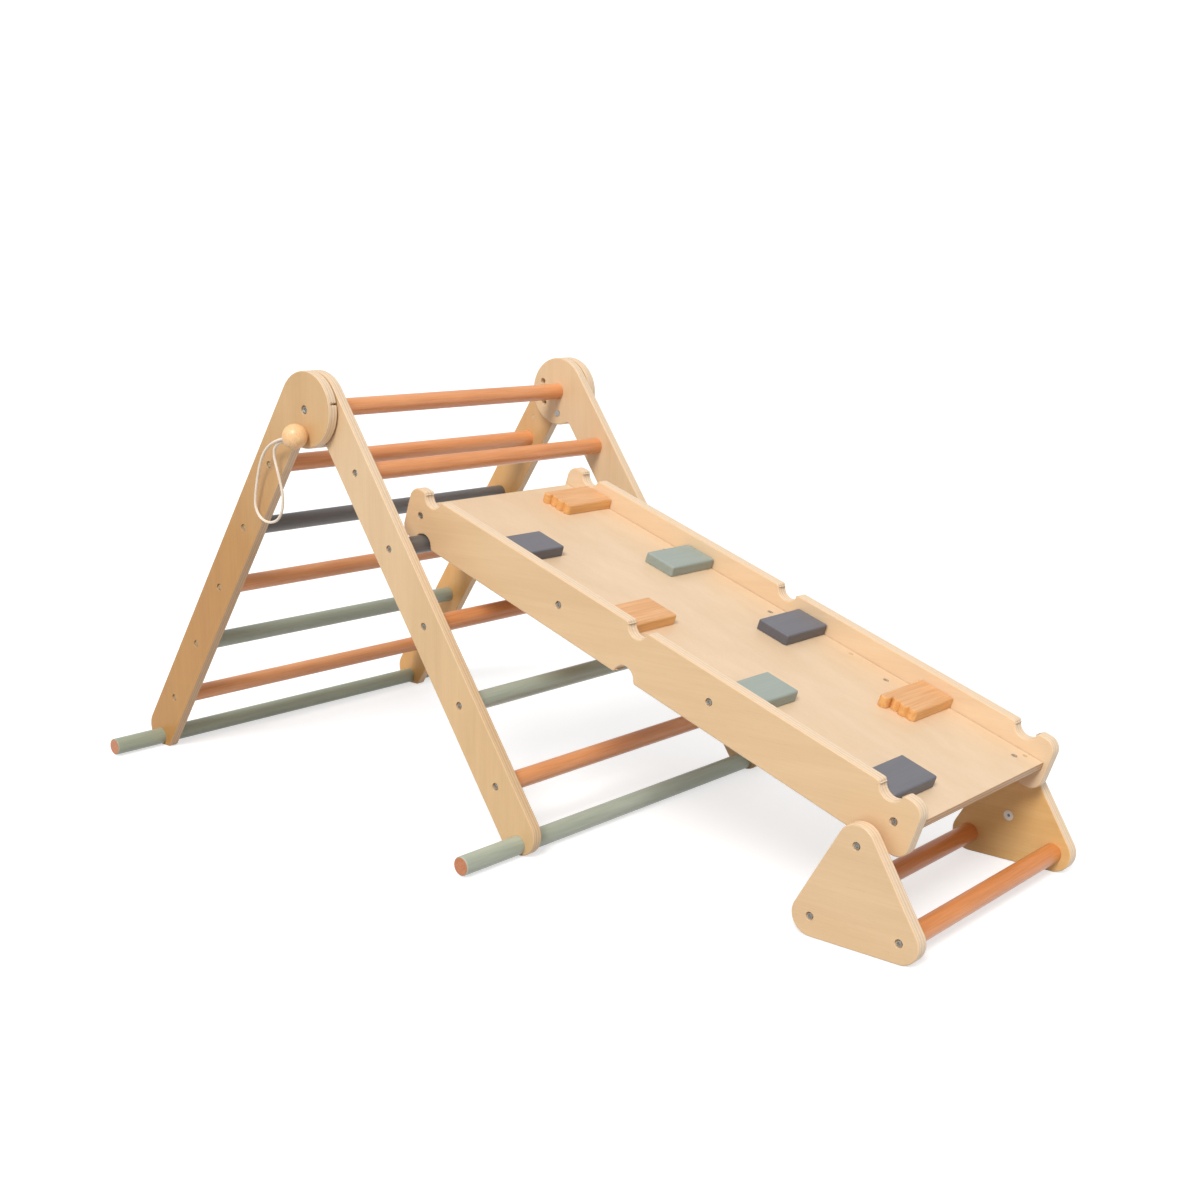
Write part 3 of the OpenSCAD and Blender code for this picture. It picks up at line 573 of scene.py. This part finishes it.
BAR_END = srgb("C27A4E")
terracotta = stained_rod("terracotta_paint", srgb("FAB178"), srgb("D08048"), seed=1.3)
base_terracotta = stained_rod("base_terracotta_paint", srgb("EE9B58"), srgb("BF6F32"), seed=6.1)
charcoal = stained_rod("charcoal_paint", srgb("767472"), srgb("5A5857"), seed=2.1)
sage = stained_rod("sage_paint", srgb("ABB19E"), srgb("8D9380"), seed=3.7)
sage_bar = stained_rod("sage_bar_paint", srgb("B3BAA4"), srgb("949B86"), BAR_END, seed=4.2)
# Painted light: a lighter copy of the sage paint for the front ladder's floor bar and fourth rung
lit_sage = stained_rod("lit_sage_paint", srgb("BFC8B8"), srgb("9FA896"), BAR_END, seed=2.9)
# The last two colours of each block are the painted shade for its sides
slate_block = stained_block("slate_block", srgb("76757B"), srgb("68676D"), srgb("626167"),
                            srgb("504F54"), seed=1.1, grain=0.2)
sage_block = stained_block("sage_block", srgb("A3ACA3"), srgb("949D94"), srgb("99A29A"),
                           srgb("848D85"), seed=2.6, grain=0.2)
natural_block = stained_block("natural_block", srgb("EFBB88"), srgb("D4955C"), srgb("F0B978"),
                              srgb("D59855"), seed=3.3, grain=0.4)
bolt_steel = metal("bolt_steel", srgb("A09D95"), 0.42)
plug_wood = stained_rod("plug_wood", srgb("DDBC92"), srgb("C69C6C"), seed=6.4)
pin_steel = metal("pin_steel", srgb("B9B7B3"), 0.3)
screw_steel = metal("screw_steel", srgb("DCCFBC"), 0.6)
brass_steel = metal("brass_steel", srgb("C9B48E"), 0.4)
white_plastic = plastic("white_plastic", srgb("F4F2EE"), srgb("E6E2DA"))
grey_plastic = plastic("grey_plastic", srgb("8E9094"), srgb("7A7C80"))

# ---------------------------------------------------------------- rails and boards
LADDER_ROUNDING = 0.0022
RAMP_ROUNDING = 0.0025
HOLE_ROUNDING = 0.0004


def ply_piece(node, rounding, *look, **more):
    from_cad(node, node + "_ply", rail_ply(node, *look, **more), rounding, HOLE_ROUNDING)


# The ladder rails get painted shade that darkens them down the leg
for side, seed in (("near", 1.7), ("far", 5.3)):
    ply_piece("front_rail_" + side, LADDER_ROUNDING, LEAN, 2, "E7C8A0", "D8B58A", seed,
              tone=FRONT_SHADE_SPAN + FRONT_SHADE_TONES)
    ply_piece("back_rail_" + side, LADDER_ROUNDING, -LEAN, 2, "D9B382", "CAA26F", seed + 1.1,
              tone=BACK_SHADE_SPAN + LEG_SHADE_TONES[side])
    ply_piece("ramp_rail_" + side, RAMP_ROUNDING, -SLOPE, 0, *RAMP_TONES[side], seed + 2.3)
    ply_piece("stand_board_" + side, RAMP_ROUNDING, 0.0, 0, *BOARD_TONES[side], seed + 3.9)


# ---------------------------------------------------------------- panel
PANEL_ROUNDING = 0.002
SCREW_HOLE_ROUNDING = 0.0003


def build_panel():
    node = "ramp_panel"
    up = Vector((math.sin(SLOPE), 0, math.cos(SLOPE)))
    heights = [vertex.co.dot(up) for vertex in frame["nodes"][node].data.vertices]
    low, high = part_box(node)
    # The panel's long edges get a painted shadow line where they meet the rails
    seam_shadow = ((low[1] + high[1]) / 2, (high[1] - low[1]) / 2)
    # Its edge colours show the plywood layers and are also darkened as painted shade for the panel's shaded
    # ends
    material = plywood("panel_ply", -SLOPE, 0, 2, min(heights), max(heights) - min(heights),
                       srgb("EBCFAE"), srgb("E0C09A"), srgb("C69C6C"), srgb("A97E50"), 8.8, layers=5,
                       roughness=0.38, seam_shadow=seam_shadow)
    from_cad(node, "ramp_panel_ply", material, PANEL_ROUNDING, SCREW_HOLE_ROUNDING)


build_panel()

# ---------------------------------------------------------------- rungs, bars and dowels
ROD_ROUNDING = 0.0006
BAR_ROUNDING = 0.002
RODS = {
    "top_rung": terracotta,
    "front_rung_1": terracotta,
    "front_rung_2": charcoal,
    "front_rung_3": terracotta,
    "front_rung_4": lit_sage,
    "front_rung_5": terracotta,
    "back_rung_1": terracotta,
    "back_rung_2": charcoal,
    "back_rung_3": terracotta,
    "back_rung_4": sage,
    "back_rung_5": terracotta,
    "stand_dowel_top": base_terracotta,
    "stand_dowel_left": base_terracotta,
    "stand_dowel_right": base_terracotta,
    "front_floor_bar": lit_sage,
    "back_floor_bar": sage_bar,
}
for node, material in RODS.items():
    rounding = BAR_ROUNDING if node.endswith("floor_bar") else ROD_ROUNDING
    turned(node, node + "_turned", material, rod_profile(node, rounding))

# ---------------------------------------------------------------- stepping blocks
BLOCK_ROUNDING = 0.0012
BLOCK_SHARP_ANGLE = 25
BLOCKS = [natural_block, slate_block, sage_block, natural_block, slate_block, sage_block, natural_block,
          slate_block]
for number, material in enumerate(BLOCKS, 1):
    node = "step_block_%d" % number
    from_cad(node, node + "_rounded", material, BLOCK_ROUNDING, sharp_angle=BLOCK_SHARP_ANGLE)

# ---------------------------------------------------------------- fastenings, with how far each is rounded
FASTENINGS = {
    "front_bolts": (bolt_steel, 0.0005),
    "back_bolts": (brass_steel, 0.0005),
    "ramp_bolts": (bolt_steel, 0.0005),
    "stand_bolts": (bolt_steel, 0.0005),
    "pivot_bolts": (bolt_steel, 0.0006),
    "pin_tips": (pin_steel, 0.0008),
    "lock_shank_near": (pin_steel, 0.0008),
    "lock_shank_far": (pin_steel, 0.0008),
    "panel_screws": (screw_steel, 0.0003),
    "rail_plugs": (plug_wood, 0.0004),
    "panel_plugs": (plug_wood, 0.0003),
    "pivot_washers": (white_plastic, 0.0005),
    "stand_inserts": (white_plastic, 0.0005),
    "stand_insert_cores": (grey_plastic, 0.0005),
}
for node, (material, rounding) in FASTENINGS.items():
    from_cad(node, node + "_rounded", material, rounding)


# ---------------------------------------------------------------- knobs
KNOB_FLAT_RADIUS = 0.0062
KNOB_STEPS = 40
KNOB_SEGMENTS = 64


def knob_material():
    """Turned beech with faint rings."""
    tree = Tree("knob_wood", roughness=0.4, coat=0.15)
    rings = tree.noise(tree.place(0, (30, 90, 30), (2, 5, 1)), 3.0, 0.5, 0.8)
    bands = tree.math("FRACT", tree.math("MULTIPLY", rings, 8.0))
    fine = tree.noise(tree.place(0, (90, 1300, 90)), 2.0)
    shade = tree.math("ADD", tree.math("MULTIPLY", bands, 0.35),
                      tree.math("MULTIPLY", tree.span(fine, 0.3, 0.7), 0.45), clamp=True)
    tree.colour(tree.mix(shade, srgb("FFD5A0"), srgb("E5AA70")))
    tree.bump(fine, 0.1, 0.0002)
    return tree.material


def build_knob(side, material):
    """A ball with a small flat where it meets its shank."""
    node = "lock_knob_" + side
    low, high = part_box(node)
    radius = (high[0] - low[0]) / 2
    outward = -1 if side == "near" else 1
    face = high[1] if side == "near" else low[1]
    depth = math.sqrt(radius ** 2 - KNOB_FLAT_RADIUS ** 2)
    centre = face + outward * depth
    profile = [(face, 0.0), (face, KNOB_FLAT_RADIUS)]
    start = math.atan2(KNOB_FLAT_RADIUS, -depth)
    for k in range(1, KNOB_STEPS):
        angle = start * (1 - k / KNOB_STEPS)
        profile.append((centre + outward * radius * math.cos(angle), radius * math.sin(angle)))
    profile.append((centre + outward * radius, 0.0))
    if side == "near":
        profile.reverse()
    turned(node, node + "_turned", material, profile, KNOB_SEGMENTS)


knob_wood = knob_material()
build_knob("near", knob_wood)
build_knob("far", knob_wood)


# ---------------------------------------------------------------- stage and light
def stage_piece(name, grey, glow):
    """A piece of the stage: an empty mesh, still to be filled, with a plain material that may glow."""
    mesh = bpy.data.meshes.new(name)
    piece = new_object(name, mesh)
    tree = Tree(name, roughness=0.9, specular=0.1)
    haze = tree.noise(tree.place(0, (2, 2, 2)), 2.0)
    light, dark = (grey + 0.01,) * 3 + (1,), (grey - 0.01,) * 3 + (1,)
    tree.colour(tree.mix(tree.span(haze, 0.3, 0.7), dark, light))
    tree.shader.inputs["Emission Color"].default_value = (1, 1, 1, 1)
    tree.shader.inputs["Emission Strength"].default_value = glow
    mesh.materials.append(tree.material)
    return piece


def floor_disc(name, drop, grey, glow):
    disc = stage_piece(name, grey, glow)
    bm = bmesh.new()
    bmesh.ops.create_circle(bm, cap_ends=True, radius=FLOOR_RADIUS, segments=FLOOR_SEGMENTS)
    bm.to_mesh(disc.data)
    bm.free()
    disc.location.z = cad_box[0][2] - drop
    return disc


def add_floor():
    """The white floor that shows, and just under it the greyer one that lights the object from below."""
    shown = floor_disc("floor", FLOOR_DROP, FLOOR_GREY, FLOOR_GLOW)
    shown.visible_diffuse = False
    shown.visible_shadow = False
    bounce = floor_disc("floor_bounce", BOUNCE_DROP, BOUNCE_GREY, 0.0)
    bounce.visible_camera = False
    bounce.visible_glossy = False
    bounce.visible_transmission = False


def add_backdrop():
    """A white dome that only the camera sees, so that the sky itself can be dimmer than the backdrop."""
    dome = stage_piece("backdrop", BACKDROP_GREY, BACKDROP_GLOW)
    bm = bmesh.new()
    bmesh.ops.create_icosphere(bm, subdivisions=4, radius=BACKDROP_RADIUS)
    bm.to_mesh(dome.data)
    bm.free()
    dome.visible_diffuse = False
    dome.visible_glossy = False
    dome.visible_transmission = False
    dome.visible_shadow = False


def add_sun(name, toward, strength, angle):
    data = bpy.data.lights.new(name, "SUN")
    data.energy = strength
    data.angle = math.radians(angle)
    light = bpy.data.objects.new(name, data)
    scene.collection.objects.link(light)
    light.rotation_euler = Vector(toward).to_track_quat("Z", "Y").to_euler()
    return light


def add_world():
    world = bpy.data.worlds.new("studio")
    world.use_nodes = True
    background = world.node_tree.nodes["Background"]
    background.inputs["Color"].default_value = (1, 1, 1, 1)
    background.inputs["Strength"].default_value = SKY_GLOW
    scene.world = world


add_floor()
add_backdrop()
add_world()
add_sun("key", toward=(0.3, -0.65, 0.7), strength=2.35, angle=22)
add_sun("fill", toward=(-0.5, 0.75, 0.45), strength=0.4, angle=40).visible_glossy = False
